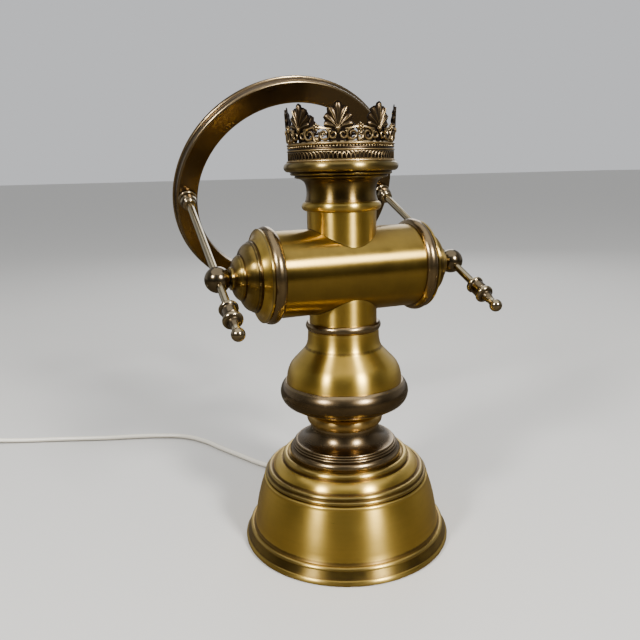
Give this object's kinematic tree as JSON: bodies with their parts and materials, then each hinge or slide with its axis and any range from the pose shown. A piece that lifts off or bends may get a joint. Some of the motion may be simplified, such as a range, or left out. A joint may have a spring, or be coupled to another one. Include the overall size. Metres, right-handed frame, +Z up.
{
  "type": "table lamp",
  "caption": "Brass table lamp in the style of a ship's lantern: bell base, vase and tube stem with a cross tube, stamped gallery crown and a tilting ring that carries the shade.",
  "frame": {"origin": "centre of the base's underside, on the surface that the lamp stands on", "axes": "+Z up the stem, +X along the cross tube, +Y to the back, where the cord leaves the base"},
  "size_m": [0.5452, 0.439, 0.3536],
  "materials": {
    "satin_brass": "satin, brushed around each turned piece, with a thin brown film",
    "dark_bronze": "dark bronze patina, worn light on the crests",
    "crown_patina": "stamped brass with dark patina in the relief",
    "gilt_brass": "warm gilt, semi-gloss",
    "pale_brass": "pale brass rod, satin",
    "zinc_steel": "zinc plated",
    "cast_iron": "as cast",
    "felt": "glued felt",
    "ivory_pvc": "semi-gloss moulded PVC",
    "holder_brass": "plain pressed brass",
    "ceramic": "glazed ceramic"
  },
  "bodies": {
    "stand": {"base_shell": "satin_brass", "vase_body": "satin_brass", "lower_tube": "satin_brass", "upper_tube": "satin_brass", "cross_tube": "satin_brass", "left_end_cap": "satin_brass", "right_end_cap": "satin_brass", "foot_collar": "dark_bronze", "vase_ring": "dark_bronze", "neck_ring": "dark_bronze", "gallery_cup": "dark_bronze", "left_end_ring": "dark_bronze", "right_end_ring": "dark_bronze", "gallery_crown": "crown_patina", "neck_collar": "gilt_brass", "base_nut": "zinc_steel", "base_washer": "zinc_steel", "holder_nut": "zinc_steel", "threaded_rod": "zinc_steel", "rocker_pin": "zinc_steel", "ballast_weight": "cast_iron", "base_felt": "felt", "cord_grommet": "ivory_pvc", "cord_run": "ivory_pvc", "cord_link": "ivory_pvc", "cord_tail": "ivory_pvc", "cord_coil": "ivory_pvc", "inner_lead": "ivory_pvc", "switch_base": "ivory_pvc", "switch_cover": "ivory_pvc", "plug_body": "ivory_pvc", "plug_relief": "ivory_pvc", "holder_cap": "holder_brass", "holder_shell": "holder_brass", "holder_screw_shell": "holder_brass", "holder_contact": "holder_brass", "plug_pin_a": "holder_brass", "plug_pin_b": "holder_brass", "holder_liner": "ceramic"},
    "shade_carrier": {"shade_ring": "dark_bronze", "left_ball": "satin_brass", "left_rod": "pale_brass", "left_ferrule": "satin_brass", "left_finial": "satin_brass", "left_pivot_stud": "zinc_steel", "left_spring_washer": "zinc_steel", "left_pivot_nut": "zinc_steel", "right_ball": "satin_brass", "right_rod": "pale_brass", "right_ferrule": "satin_brass", "right_finial": "satin_brass", "right_pivot_stud": "zinc_steel", "right_spring_washer": "zinc_steel", "right_pivot_nut": "zinc_steel"},
    "rocker": {"switch_rocker": "ivory_pvc"}
  },
  "joints": [
    {"name": "ring_tilt", "type": "hinge", "parent": "stand", "child": "shade_carrier", "pos_m": [0, 0, 0.2082], "axis": [1, 0, 0], "range_deg": [-50, 180]},
    {"name": "rocker_tilt", "type": "hinge", "parent": "stand", "child": "rocker", "pos_m": [-0.32, 0.331, 0.014], "axis": [-0.3584, -0.9336, 0], "range_deg": [-12, 0]}
  ]
}
